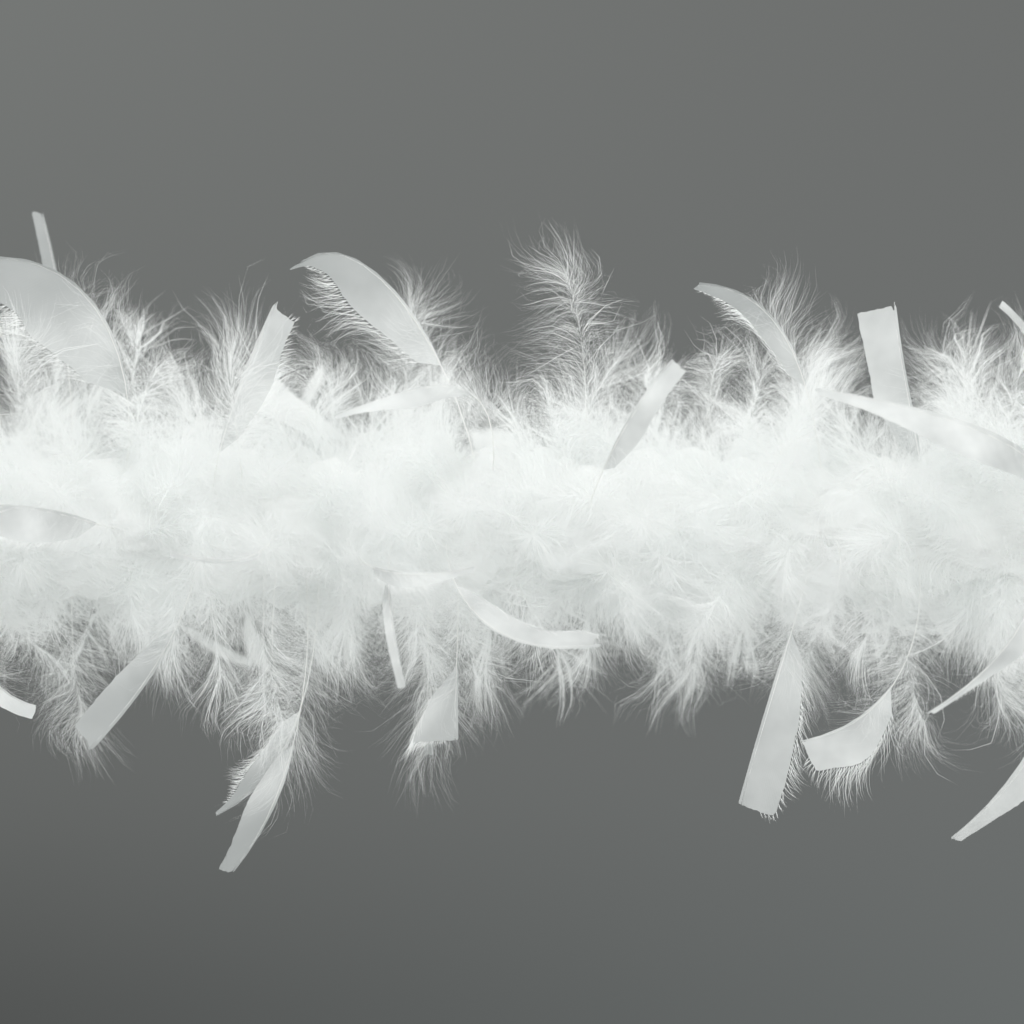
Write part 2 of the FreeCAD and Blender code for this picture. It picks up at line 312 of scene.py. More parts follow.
def grow_quills(rng, x, angle, growth):
    """The quills of several feathers that leave the cord at places x and angles round it."""
    count = len(x)
    length = rng.uniform(*growth["length"], count)
    lean = rng.normal(0, growth["lean"], count)
    curl = rng.normal(*growth["curl"], count)
    outward = outward_at(angle)
    root = outward * CORD_RADIUS
    root[:, 0] = x
    along = np.array([1.0, 0, 0])
    heading = unit(outward * np.cos(lean)[:, None] + along * np.sin(lean)[:, None])
    axis = square_to(random_units(rng, count), heading)
    side = square_to(random_units(rng, count), heading)
    t = np.linspace(0, 1, RACHIS_SAMPLES)
    bend = curl[:, None] * t[None, :] ** 1.4
    tangent = turn_about(heading[:, None, :], axis[:, None, :], bend)
    side = turn_about(side[:, None, :], axis[:, None, :], bend)
    twist = rng.normal(0, TWIST, count)[:, None] * t[None, :]
    side = turn_about(side, tangent, twist)
    step = length[:, None, None] / (RACHIS_SAMPLES - 1)
    middle = (tangent[:, 1:] + tangent[:, :-1]) / 2
    walk = np.cumsum(middle * step, axis=1)
    points = np.concatenate([root[:, None], root[:, None] + walk], axis=1)
    return {"points": points, "tangent": tangent, "side": side, "length": length}


def bezier_quill(corners, facing, roll):
    """One quill along a curve through a root, two guides and a tip, its vane facing a way."""
    t = np.linspace(0, 1, RACHIS_SAMPLES)[:, None]
    root, low, high, tip = (np.array(corner, float) for corner in corners)
    points = (1 - t) ** 3 * root + 3 * t * (1 - t) ** 2 * low
    points = points + 3 * t**2 * (1 - t) * high + t**3 * tip
    tangent = unit(np.gradient(points, axis=0))
    normal = square_to(np.array(facing, float) + 0 * tangent, tangent)
    side = np.cross(normal, tangent)
    side = turn_about(side, tangent, np.radians(roll[0] + (roll[1] - roll[0]) * t[:, 0]))
    length = np.linalg.norm(np.diff(points, axis=0), axis=1).sum()
    track = {"points": points, "tangent": tangent, "side": side, "length": length}
    return {key: np.asarray(value)[None] for key, value in track.items()}


def only(quills, kept):
    """Some of the quills."""
    return {key: value[kept] for key, value in quills.items()}


def at_share(track, feather, share):
    """One of the quills' tracks, (feathers, samples, 3), read at shares of their length."""
    place = np.clip(share, 0, 1) * (RACHIS_SAMPLES - 1)
    low = np.minimum(place.astype(int), RACHIS_SAMPLES - 2)
    part = (place - low)[..., None]
    return track[feather, low] * (1 - part) + track[feather, low + 1] * part


def axes_at(quills, feather, share):
    """Where quills are at shares of their length, and their own three axes there."""
    keys = ("points", "tangent", "side")
    start, tangent, side = (at_share(quills[key], feather, share) for key in keys)
    tangent = unit(tangent)
    sideways = square_to(side, tangent)
    return start, tangent, sideways, np.cross(tangent, sideways)


def add_quills(sheet, quills, shaft, rng):
    """The shafts, tapering up to a share of each quill's length."""
    count = len(quills["points"])
    t = np.linspace(0, shaft["share"], RACHIS_SAMPLES)
    feather = np.arange(count)[:, None]
    spines = at_share(quills["points"], feather, np.broadcast_to(t, (count, len(t))))
    taper = shaft["radius"] * (1 - 0.85 * np.linspace(0, 1, RACHIS_SAMPLES) ** 1.2)
    add_tubes(sheet, spines, np.broadcast_to(taper, spines.shape[:2]), SHAFT_SIDES, rng)


# ---- down


# How a barb differs from the one that leads its wisp: angles in radians, reach as a share.
BARB_SPREAD = 0.22
BARB_TILT = 0.14
BARB_REACH = (0.7, 1.1)
BARB_WANDER = 0.7
WISP_TILT = 0.3  # and how wisps differ from each other
WISP_REACH = (0.6, 1.15)


def add_down(sheet, quills, rng, style):
    """Soft barbs on both sides of quills, gathered into wisps. FLUFF explains a style's keys."""
    feathers = len(quills["points"])
    wisps = max(2, int(style["barbs"] / style["wisp"]))
    per_wisp = max(1, round(style["barbs"] / wisps))
    total = feathers * wisps
    feather = np.repeat(np.arange(feathers), wisps)
    low, high = style["cover"]
    share = low + (high - low) * rng.random(total) ** style["crowd"]
    side = np.where(rng.random(total) < 0.5, -1.0, 1.0)
    spread = rng.normal(0, style["spread"], total)
    lean = rng.normal(style["lean"] * (1.1 - 0.5 * share), WISP_TILT, total)
    reach = style["length"] * rng.uniform(*WISP_REACH, total)
    wander = random_units(rng, total)
    guides = barb_spines(quills, feather, share, side, spread, lean, reach, wander, style)

    child = np.repeat(np.arange(total), per_wisp)
    count = len(child)
    share = share[child] + rng.normal(0, (high - low) * style["gap"], count)
    own = barb_spines(
        quills,
        feather[child],
        np.clip(share, low, high),
        side[child],
        spread[child] + rng.normal(0, BARB_SPREAD, count),
        lean[child] + rng.normal(0, BARB_TILT, count),
        reach[child] * rng.uniform(*BARB_REACH, count),
        unit(wander[child] + BARB_WANDER * random_units(rng, count)),
        style,
    )
    t = np.linspace(0, 1, BARB_STEPS + 1)
    pull = (style["pull"] * t**1.3)[None, :, None]
    scatter = style["loose"] * rng.normal(0, 1, (count, 1, 3)) * t[None, :, None]
    spines = own * (1 - pull) + (guides[child] + scatter) * pull
    widths = barb_widths(style["width"], rng, count)
    add_ribbons(sheet, spines, widths, rng)


def barb_spines(quills, feather, share, side, spread, lean, reach, wander, style):
    """The curved middle lines of barbs that leave quills at given shares of their length."""
    start, tangent, sideways, normal = axes_at(quills, feather, share)
    out = sideways * (side * np.cos(spread))[:, None] + normal * np.sin(spread)[:, None]
    heading = tangent * np.cos(lean)[:, None] + out * np.sin(lean)[:, None]
    return walk_barbs(start, heading, style["curl"] * tangent, reach, wander, 5 * share, style)


def barb_widths(width, rng, count):
    """Thin at the quill, widest a third of the way out, then tapering."""
    t = np.linspace(0, 1, BARB_STEPS + 1)
    profile = (0.3 + 0.7 * smooth(t, 0, 0.3)) * (1 - 0.8 * t**1.5)
    return width * rng.uniform(0.7, 1.25, (count, 1)) * profile


def walk_barbs(start, heading, bend, reach, wander, phase, style):
    """Barbs that set off along their headings, bend, sway and drift: (barbs, steps + 1, 3)."""
    points = [start]
    for step in range(BARB_STEPS):
        t = (step + 0.5) / BARB_STEPS
        sway = style["wander"] * wander * np.sin(3.1 * t + phase[:, None])
        course = heading + bend * t**1.5 + sway * t + style["drift"] * AIR.at(points[-1]) * t
        points.append(points[-1] + unit(course) * (reach[:, None] / BARB_STEPS))
    return np.stack(points, axis=1)


# Fluff makes up most of the body. The other kinds of down are told by how they differ from it.
FLUFF = {
    "barbs": 720,  # on one feather
    "wisp": 4,  # barbs that share a wisp
    "cover": (0.45, 1.0),  # the shares of the quill that barbs leave it between
    "crowd": 1.6,  # above 1, more of them leave it near the root
    "length": 25.0,
    "width": 0.05,
    "lean": 1.25,  # radians between barb and quill
    "spread": 1.3,  # radians out of the feather's plane
    "curl": 0.2,  # towards the feather's tip
    "wander": 0.6,  # each wisp's own sway
    "drift": 0.8,  # how far barbs follow AIR
    "gap": 0.015,  # how far along the quill a wisp's barbs start from each other
    "pull": 0.4,  # how far a wisp's barbs come together
    "loose": 1.9,  # how far they stay scattered all the same
}
# Broad barbs deep inside, which fill the body.
CORE = dict(
    FLUFF, barbs=100, wisp=2, cover=(0.42, 0.72), length=17.0, width=0.3, lean=1.1, pull=0.0
)
# The tufts of the outline.
PUFF = dict(FLUFF, barbs=900, cover=(0.3, 1.0), spread=1.5, crowd=0.8, drift=1.0)
# Pointed tufts at the tips of the short feathers.
WISPS = dict(
    FLUFF, barbs=60, wisp=6, cover=(0.7, 1.0), length=27.0, width=0.11, lean=0.8, pull=0.9,
    loose=0.7, crowd=1.0
)
# Single long barbs that stand out of a tuft.
HAIR_REACH = 1.15  # times the length of its other barbs
HAIRS = dict(
    FLUFF, barbs=36, wisp=1, cover=(0.4, 1.0), length=31.0, width=0.17, spread=1.6, wander=0.9,
    pull=0.0, crowd=0.8
)
FUR = dict(FLUFF, length=25.0, width=0.1, wander=0.8, drift=1.1)
FRINGE = dict(FLUFF, width=0.13, wander=0.25, drift=0.5)

# ---- vanes

VANE_ROWS = 46
VANE_COLUMNS = 6
FAR_VANE_ROWS = 24
SPLIT_GAP = 0.002  # as a share of the vane's length
SPLIT_LEAN = 0.016  # radians that a split turns its two barbs apart
BARB_LEAN = 0.66  # radians between a vane's barbs and its quill
BARBS_PER_ROW = 6  # in a fringe
FRINGE_END = 0.75  # the share of the vane that may have a fringe
VANE_BASE_PALER = 0.85  # how far a vane's painted shade fades out at its start, to the white of the down round it
FACES_PER_BARB = 2 * BARB_STEPS - 1
FRINGE_FACES = VANE_ROWS * BARBS_PER_ROW * FACES_PER_BARB
RAGGED = {"square": 0.4, "frayed": 1.3}  # mm that the barbs at a cut tip differ in length
TOWARDS = (0, -1, 0)  # the way a vane faces: the camera
EDGE_ON = (0, -0.25, 1)
HALF_ON = (0, -0.85, 0.5)
# How light a vane's painted shade is: the first looks lit, the second lies in shade.
BRIGHT, SHADED = 1.0, 0.1

# A vane's usual shape. shade, how light its painted shade is, and fringe, the length of its loose
# barbs, may be given too.
VANE = {
    "taper": 0.2,  # how much narrower it is at the tip
    "camber": 0.012,
    "lean": BARB_LEAN,
    "splits": 0.4,  # on each side, on average
    "facing": TOWARDS,
    "roll": (0, 0),  # degrees that it is turned about the quill at root and tip
    "buried": 0.14,  # the share of the quill where it and the down overlap
}


def vane_widths(progress, shape, side, rng):
    """How far each row's barbs reach sideways: widening from the vane's start, then tapering."""
    full = shape["widths"][0] if side > 0 else shape["widths"][1]
    wave = 1 + 0.04 * np.sin(progress * 9 + rng.uniform(0, TAU))
    taper = 1 - shape["taper"] * smooth(progress, 0.25, 1.0)
    return full * smooth(progress, -0.3, 0.28) * taper * wave


def tip_allowance(left, full, kind, rng):
    """How far forward each barb may reach before the tip cuts it off, from what is left."""
    if kind == "point":
        return 0.9 * left + 0.5
    ripple = np.convolve(rng.normal(0, 1, len(left)), np.ones(5) / 2.4, "same")
    ragged = RAGGED[kind] * ripple
    return np.maximum(left + 0.12 * full + ragged * smooth(-left, -0.8 * full, 0), 0.4)


def add_vane(sheet, loose, quills, number, rows, rng, shape):
    """One flat vane: barbs zipped into a sheet either side of the quill's outer part.

    Each row of the grid is one barb from the quill outwards. A split leaves two neighbours
    unzipped, the tip cuts the last barbs off square, frayed or to a point, and a fringe lets
    the barbs of the vane's inner part run on past its edge, onto the sheet of loose barbs.
    """
    length = quills["length"][number]
    feather = np.full(rows, number)
    ripple = rng.uniform(0, TAU, 2)
    # How light the vane's painted shade is, at random unless the shape gives it.
    tone = shape.get("shade", rng.uniform(0.1, 0.7))
    for side in (-1.0, 1.0):
        progress = np.linspace(0, 1, rows)
        split = np.zeros(rows, bool)
        for at in rng.integers(rows // 4, rows - 6, rng.poisson(shape["splits"])):
            split[at] = True
            progress[at + 1] = progress[at] + SPLIT_GAP
        share = shape["start"] + (1 - shape["start"]) * progress
        start, tangent, sideways, normal = axes_at(quills, feather, share)
        width = vane_widths(progress, shape, side, rng)
        lean = shape["lean"] * (1 - 0.9 * smooth(progress, 0.5, 1.0))
        for at in np.flatnonzero(split):
            near = np.arange(rows) - at - 0.5
            lean -= np.sign(near) * SPLIT_LEAN * np.exp(-np.abs(near) / 5)
        lean = np.maximum(lean, 0.02)
        barb = width / np.sin(lean)
        ahead = tip_allowance((1 - share) * length, max(shape["widths"]), shape["tip"], rng)
        barb = np.minimum(barb, ahead / np.cos(lean)) * (1 + rng.normal(0, 0.01, rows))
        t = np.linspace(0, 1, VANE_COLUMNS)[None, :, None]
        heading = tangent * np.cos(lean)[:, None] + side * sideways * np.sin(lean)[:, None]
        reach = barb[:, None, None] * t
        points = start[:, None] + heading[:, None] * reach
        points -= normal[:, None] * shape["camber"] * (reach * np.sin(BARB_LEAN)) ** 2
        swell = np.sin(progress * 5 + ripple[0])[:, None, None] + np.sin(reach * 0.35 + ripple[1])
        points += normal[:, None] * 0.35 * swell * t
        # The painted shade fades out towards the vane's start, into the white of the down.
        paler = VANE_BASE_PALER * (1 - smooth(progress, 0.05, 0.65))[:, None]
        shade = tone + (1 - tone) * paler
        quads = grid(rows, VANE_COLUMNS)[~split[:-1]]
        sheet.add(points, progress[:, None], 0.5 + side * 0.49 * t[:, :, 0], shade, quads)
        if "fringe" in shape and width[0] > 1.5:
            edge = points[:, -1] - points[:, -2]
            add_fringe(loose, points[:, -1], unit(edge), progress, shape["fringe"], rng)


def add_fringe(sheet, edge, heading, progress, length, rng):
    """Loose barb ends past a vane's edge, longest near the vane's start."""
    loose_rows = np.flatnonzero(progress < FRINGE_END)
    row = np.repeat(loose_rows, BARBS_PER_ROW)
    weight = 1 - 0.8 * smooth(progress[row], 0.35, FRINGE_END)
    reach = length * weight * rng.uniform(0.35, 1.2, len(row))
    set_off = unit(heading[row] + 0.3 * random_units(rng, len(row)))
    wander = random_units(rng, len(row))
    spines = walk_barbs(edge[row], set_off, 0, reach, wander, 5 * progress[row], FRINGE)
    taper = 1 - 0.8 * np.linspace(0, 1, BARB_STEPS + 1) ** 1.5
    widths = np.broadcast_to(FRINGE["width"] * taper, spines.shape[:2])
    add_ribbons(sheet, spines, widths, rng)


# ---- feathers listed one by one


def flat(root, low, high, end, widths, start, tip="point", **shape):
    """A feather whose quill runs from its root on the cord, through two guides, to its end.

    widths are of its vane to the left and right of that run, start is the share of the quill
    where the vane begins, tip is its cut, and VANE explains the rest of its shape.
    """
    run = (root, low, high, end)
    return {**VANE, "run": run, "widths": widths, "start": start, "tip": tip, **shape}


def puff(root, low, high, end, length, barbs=PUFF["barbs"], hairs=HAIRS["barbs"]):
    """A feather that is down all the way, with barbs of a length."""
    return {"run": (root, low, high, end), "length": length, "barbs": barbs, "hairs": hairs}


# The long feathers whose vanes stand out of the front of the boa.
# Each shade sets how light the painted shade of that vane is.
FLATS = [
    flat((-140, -2, 1), (-140, 4, 40), (-144, 8, 75), (-151, 8, 99), (3.6, 0.7), 0.55, "frayed"),
    flat((-128, -3, 1), (-112, -18, 38), (-126, -24, 92), (-172, -20, 84), (23, 0.8), 0.34,
        "square", taper=0.5, camber=0.004, lean=1.15, splits=0, fringe=15, buried=0.3),
    flat((-95, -4, 1), (-97, -30, 14), (-89, -30, 38), (-75, -26, 69), (0.8, 9), 0.42, "square",
        taper=0.15, splits=0, fringe=9),
    flat((-10, -4, 1), (-8, -20, 38), (-44, -18, 100), (-66, -14, 84), (13, 0.8), 0.4, "frayed",
        taper=0.75, lean=1.0, splits=0, fringe=17),
    flat((-8, -6, 1), (2, -38, 56), (-22, -62, 46), (-55, -58, 34.5), (7, 0.7), 0.45, taper=0.85,
        facing=HALF_ON, shade=BRIGHT),
    flat((24, -5, 0), (22, -36, 5), (33, -56, 32), (50, -56, 51), (0.7, 6.5), 0.45, splits=0,
        facing=HALF_ON, shade=BRIGHT),
    flat((100, -5, 1), (97, -24, 40), (89, -30, 75), (59.5, -30, 76), (7, 0.7), 0.4, taper=0.5,
        splits=0, fringe=9, shade=SHADED, buried=0.35),
    flat((178, -5, 0), (172, -48, 24), (140, -62, 34), (96, -58, 42.5), (12, 1.5), 0.2, "frayed",
        taper=0.88, facing=HALF_ON, shade=BRIGHT),
    flat((132, -4, 1), (132, -10, 20), (123.5, -16, 45), (121.5, -14, 68.5), (11, 0.8), 0.3,
        "frayed", taper=0, shade=0.7),
    flat((175, 0, 1), (176, 0, 30), (172, -4, 58), (156, -6, 69.5), (0.7, 1.8), 0.55,
        shade=BRIGHT),
    flat((-20, -5, -1), (-24, -40, -8), (-16, -60, -44), (26, -54, -37), (13, 0.8), 0.4, "square",
        camber=0.02, splits=0, fringe=6, facing=HALF_ON, shade=BRIGHT),
    flat((-36, -5, -1), (-40, -40, -5), (-40, -58, -25), (-33.5, -58, -50), (0.7, 2.4), 0.5,
        shade=BRIGHT),
    flat((-18, -3, -1), (-16, -20, -25), (-18, -24, -45), (-18, -22, -66), (0.8, 13), 0.66,
        "square", taper=-0.3, splits=0, fringe=7, shade=0.5),
    flat((-26, 0, -1), (-27, -6, -30), (-27, -8, -55), (-26.5, -8, -72.5), (1.7, 1.7), 0.86,
        shade=SHADED),
    flat((-62, -3, -1), (-60, -14, -35), (-64, -16, -78), (-93.5, -14, -92), (0.8, 6.5), 0.55,
        taper=0.85, fringe=7, shade=SHADED),
    flat((-68, -3, -1), (-60, -14, -40), (-68, -18, -85), (-88, -16, -109), (0.8, 8.5), 0.58,
        "square", taper=0.6, shade=SHADED),
    flat((-100, -4, -1), (-98, -26, -20), (-108, -30, -44), (-133, -28, -70), (0.9, 9), 0.5,
        "square", taper=0, splits=0, shade=0.3),
    flat((98, -3, -1), (92, -20, -25), (80, -24, -60), (73, -20, -87), (11, 0.9), 0.4, "square",
        taper=-0.1, splits=0, fringe=10, shade=0.5),
    flat((128, -3, -1), (134, -28, -30), (124, -32, -62), (93, -28, -68), (10, 0.8), 0.62,
        "square", splits=0, fringe=15, shade=0.9),
    flat((168, -5, -1), (170, -40, -15), (160, -58, -40), (130, -54, -58.5), (6, 0.8), 0.4,
        taper=0.8, fringe=6, facing=EDGE_ON, shade=BRIGHT),
    flat((178, -3, -1), (186, -10, -40), (172, -14, -76), (140, -12, -99.5), (8, 2), 0.45,
        taper=0.8, roll=(0, 30), shade=0.8),
    flat((-178, -3, -1), (-180, -25, -20), (-170, -30, -54), (-151, -26, -57), (0.7, 4), 0.6,
        shade=BRIGHT),
    flat((-78, -5, 0), (-70, -45, -2), (-80, -62, -18), (-106, -60, -8), (3, 0.7), 0.5,
        facing=EDGE_ON, shade=BRIGHT),
    flat((-125, -6, 0), (-124, -45, -4), (-140, -60, 8), (-168, -56, 5.5), (11, 0.8), 0.36,
        "square", fringe=8, shade=BRIGHT),
    flat((-50, -5, -1), (-56, -45, -10), (-40, -62, -20), (-12, -60, -13), (0.7, 4), 0.5,
        taper=0.8, fringe=5, shade=BRIGHT, buried=0.3),
]

# Set where the outline has a tuft.
PUFFS = [
    puff((20, -2, 1), (26, -15, 30), (24, -18, 60), (17, -16, 80), 26, hairs=60),
    puff((-86, -2, 1), (-84, -30, 18), (-88, -46, 34), (-88, -50, 54), 28, hairs=110),
    puff((-150, -2, 1), (-148, -20, 25), (-152, -26, 42), (-158, -28, 56), 24),
    puff((-120, 8, 1), (-122, 12, 25), (-124, 14, 45), (-120, 14, 62), 22),
    puff((-34, 4, 1), (-36, 8, 30), (-34, 8, 50), (-32, 6, 70), 24),
    puff((92, 6, 1), (90, 10, 22), (94, 12, 38), (97, 12, 54), 24, barbs=500),
    puff((62, 6, 1), (60, 2, 20), (62, -4, 40), (66, -6, 54), 22),
    puff((146, 8, 1), (144, 12, 20), (146, 14, 40), (145, 14, 54), 24),
    puff((-152, 4, 1), (-156, 6, 20), (-158, 8, 40), (-160, 8, 56), 22),
    puff((100, -5, -1), (106, -42, -6), (102, -60, -18), (97, -62, -34), 22),
    puff((-142, 4, -1), (-140, 0, -25), (-142, -6, -45), (-136, -8, -64), 24),
    puff((-74, -6, -1), (-76, -16, -25), (-78, -22, -45), (-72, -22, -64), 24),
    puff((20, 4, -1), (22, 0, -18), (26, -6, -30), (24, -8, -42), 20),
    puff((70, -2, -1), (66, -8, -18), (70, -10, -30), (74, -12, -44), 20),
    puff((124, 4, -1), (122, 0, -25), (126, -4, -45), (130, -6, -62), 24),
    puff((160, 2, -1), (156, -4, -20), (152, -8, -40), (156, -10, -56), 24),
    puff((-34, 4, -1), (-30, 0, -15), (-28, -4, -30), (-24, -6, -46), 20),
    puff((-80, 2, -1), (-78, -12, -24), (-80, -22, -44), (-78, -22, -58), 26),
    puff((44, 4, 1), (42, 6, 18), (44, 6, 34), (46, 4, 48), 22),
    puff((-58, 4, 1), (-60, 6, 18), (-56, 4, 32), (-58, 2, 46), 22),
]


# ---- zones along the boa


def make_zones():
    """Every stretch of the boa that has its own pieces: one a bend, and one at each end.

    At an end of the boa a zone has one body only.
    """
    first, last = BEND_X[0] - PITCH / 2, BEND_X[-1] + PITCH / 2
    zones = [("end_left", SEGMENTS[0], None, -SLEEVE_END, first)]
    for joint, x in zip(BENDS, BEND_X):
        bodies = sorted((joint["parent"], joint["child"]))
        name = joint["name"].replace("bend_", "")
        zones.append((name, *bodies, x - PITCH / 2, x + PITCH / 2))
    zones.append(("end_right", SEGMENTS[-1], None, last, SLEEVE_END))
    return [dict(zip(("name", "left", "right", "start", "end"), zone)) for zone in zones]


def nodes_of(zone, kind):
    """The CAD nodes of one kind on the zone's bodies."""
    bodies = [b for b in (zone["left"], zone["right"]) if b]
    return [f"{kind}_{body.split('_')[1]}" for body in bodies]


# ---- materials


def new_material(name):
    """A material and its empty node tree."""
    material = bpy.data.materials.new(name)
    material.use_nodes = True
    tree = material.node_tree
    tree.nodes.clear()
    return material, tree


def node(tree, kind, inputs=None, **settings):
    """A new shader node, its settings, and its inputs by name or number: values or sockets."""
    made = tree.nodes.new(f"ShaderNode{kind}")
    for key, value in settings.items():
        setattr(made, key, value)
    for key, value in (inputs or {}).items():
        if isinstance(value, bpy.types.NodeSocket):
            tree.links.new(value, made.inputs[key])
        else:
            made.inputs[key].default_value = value
    return made


def ramp(tree, factor, low, high, middle=None):
    """A colour between low and high, by way of middle a quarter of the way along."""
    made = node(tree, "ValToRGB", {"Fac": factor})
    stops = made.color_ramp.elements
    stops[0].color, stops[1].color = low, high
    if middle:
        stops.new(0.25).color = middle
    return made.outputs["Color"]


def mix_shaders(tree, share, first, second):
    return node(tree, "MixShader", {0: share, 1: first.outputs[0], 2: second.outputs[0]})


CLOUDS_PER_METRE = 55.0
RELIEF = 0.0002  # metres, of a vane's barbs and of a cord's strands
RIDGE_STRENGTH = 0.08


def feather_material(name, look):
    """A thin white sheet that lets light through, tinted a little from barb to barb, painted shade
    on vanes.
    """
    material, tree = new_material(name)
    shade = node(tree, "Attribute", attribute_name="shade").outputs["Fac"]
    where = node(tree, "TexCoord").outputs["Object"]
    cloud = node(tree, "TexNoise", {"Vector": where, "Scale": CLOUDS_PER_METRE, "Detail": 3.0})
    terms = {0: shade, 1: cloud.outputs["Fac"], 2: 0.1}
    # On vanes the shade attribute sets painted shade; on down and quills it is a random tint.
    mixed = node(tree, "Math", terms, operation="MULTIPLY_ADD")
    colour = ramp(tree, mixed.outputs[0], look["shadow"], look["light"])
    finish = {"Roughness": look["roughness"], "Specular IOR Level": look["shine"]}
    finish |= {"Base Color": colour, "Sheen Weight": look["sheen"], "Sheen Roughness": 0.4}
    if look["ridges"]:
        maps = node(tree, "UVMap", uv_map=MAP_NAME).outputs["UV"]
        rows = {0: node(tree, "SeparateXYZ", {0: maps}).outputs["X"], 1: look["ridges"] * TAU}
        turns = node(tree, "Math", rows, operation="MULTIPLY").outputs[0]
        wave = node(tree, "Math", {0: turns}, operation="SINE").outputs[0]
        bump = {"Height": wave, "Strength": RIDGE_STRENGTH, "Distance": RELIEF}
        finish["Normal"] = node(tree, "Bump", bump).outputs["Normal"]
    surface = node(tree, "BsdfPrincipled", finish)
    through = node(tree, "BsdfTranslucent", {"Color": colour})
    mix = mix_shaders(tree, look["through"], surface, through)
    node(tree, "OutputMaterial", {"Surface": mix.outputs[0]})
    return material


def cord_material(name, strands):
    """Twisted white cotton: fine slanting strands in relief, with painted shade in the furrows."""
    material, tree = new_material(name)
    where = node(tree, "TexCoord").outputs["Object"]
    twist = {"Vector": where, "Scale": strands * 100, "Distortion": 3.0}
    strand = node(tree, "TexWave", twist, bands_direction="DIAGONAL").outputs["Fac"]
    # The darker furrows are painted shade.
    colour = ramp(tree, strand, (0.62, 0.61, 0.58, 1), (0.86, 0.86, 0.84, 1))
    bump = node(tree, "Bump", {"Height": strand, "Strength": 0.5, "Distance": RELIEF})
    finish = {"Base Color": colour, "Roughness": 0.85, "Normal": bump.outputs["Normal"]}
    surface = node(tree, "BsdfPrincipled", finish)
    node(tree, "OutputMaterial", {"Surface": surface.outputs[0]})
    return material


# shadow and light are the darkest and lightest colour. On the vanes the span between them is
# painted shade and light, set by each vane's shade; on the down and quills it is a small random
# tint.
# ridges are the barbs in relief along a vane, and through the share of light that comes through.
DOWN_LOOK = dict(
    shadow=(0.955, 0.965, 0.965, 1), light=(0.985, 0.985, 0.98, 1), roughness=0.8, shine=0.1,
    sheen=0.1, ridges=0, through=0.5
)
VANE_LOOK = dict(
    shadow=(0.31, 0.325, 0.325, 1), light=(0.95, 0.96, 0.955, 1), roughness=0.45, shine=0.3,
    sheen=0.05, ridges=70, through=0.4
)
QUILL_LOOK = dict(
    shadow=(0.93, 0.93, 0.91, 1), light=(0.97, 0.97, 0.96, 1), roughness=0.4, shine=0.3,
    sheen=0.0, ridges=0, through=0.25
)

# ---- filling a zone with feathers

FAR_DETAIL = 0.15  # the share of barbs drawn, wider, away from the sharp stretch
BACK_DETAIL = 0.3  # and on the back of the sharp stretch
BACK_DEPTH = 12.0  # how far behind the cord's axis that side begins
FLUFF_SPACING = 1.7
FUR_SPACING = 0.0066  # along the cord, from one barb of the fur to the next
FUR_ROOT = 17.0  # from the cord's axis
FUR_LEAST = 6.0  # the shortest barb
FLAT_SPACING = 5.0
GOLDEN_TURN = 2.39996  # radians between one short feather and the next
HIDDEN_DEPTH = 40.0  # a flat whose tip is this far behind the cord's axis, and no
HIDDEN_HEIGHT = 50.0  # higher or lower than this, is hidden from the camera


def rooted_in(zone, feathers):
    """The listed feathers whose roots lie in a zone."""
    return [f for f in feathers if zone["start"] <= f["run"][0][0] < zone["end"]]


def scattered(zone, spacing, rng):
    """Places along a zone, one in each spacing."""
    count = round((zone["end"] - zone["start"]) / spacing)
    return zone["start"] + (np.arange(count) + rng.uniform(0.1, 0.9, count)) * spacing


class Filling:
    """The sheets of one zone while it fills up with feathers."""

    def __init__(self, zone, number):
        self.zone = zone
        self.rng = np.random.default_rng([SEED, number])
        self.down, self.vanes, self.quills = [Sheet()], Sheet(), Sheet()

    def open_down(self, faces):
        """A sheet of down with room for so many more triangles."""
        if self.down[-1].faces() + faces > MAX_PIECE_FACES:
            self.down.append(Sheet())
        return self.down[-1]

    def add_down(self, quills, style):
        """Down on quills, at the detail that each one's place calls for."""
        tips = quills["points"][:, -1]
        for level, here in detail_levels(tips):
            if here.any():
                self.add_level(only(quills, here), coarser(style, level))

    def add_level(self, quills, style):
        """Down at one level of detail, a few feathers at a time, so no piece grows too large."""
        per_feather = style["barbs"] * FACES_PER_BARB
        group = max(1, int(MAX_PIECE_FACES / 4 / per_feather))
        for first in range(0, len(quills["length"]), group):
            part = only(quills, slice(first, first + group))
            sheet = self.open_down(per_feather * len(part["length"]))
            add_down(sheet, part, self.rng, style)


def detail_levels(points):
    """The share of barbs to draw, and which points of the boa it holds for."""
    near = np.abs(points[:, 0]) < SHARP_HALF_WIDTH
    behind = points[:, 1] > BACK_DEPTH
    return ((1.0, near & ~behind), (BACK_DETAIL, near & behind), (FAR_DETAIL, ~near))


def coarser(style, level):
    """A style with fewer barbs, each so much wider that they cover as much."""
    level *= 1
    barbs = max(8, int(style["barbs"] * level))
    return {**style, "barbs": barbs, "width": style["width"] / level}


def fill_fluff(filling):
    """The soft feathers that make up the boa's dense body."""
    rng = filling.rng
    x = scattered(filling.zone, FLUFF_SPACING, rng)
    angle = (np.arange(len(x)) * GOLDEN_TURN + rng.normal(0, 0.3, len(x))) % TAU
    quills = grow_quills(rng, x, angle, SHORT_GROWTH)
    add_quills(filling.quills, quills, SHORT_SHAFT, rng)
    for style in (CORE, FLUFF, WISPS):
        filling.add_down(quills, style)


def fill_fur(filling):
    """Short down that stands out of the matted down, so that its edge is soft."""
    rng, start, end = filling.rng, filling.zone["start"], filling.zone["end"]
    count = round((end - start) / FUR_SPACING)
    x = rng.uniform(start, end, count)
    angle = rng.uniform(0, TAU, count)
    outward = outward_at(angle)
    roots = FUR_ROOT * outward
    roots[:, 0] = x
    for level, here in detail_levels(roots):
        style = coarser({**FUR, "barbs": here.sum()}, level)
        if here.any():
            kept = rng.choice(np.flatnonzero(here), style["barbs"], replace=False)
            add_fur(filling, roots[kept], outward[kept], style)


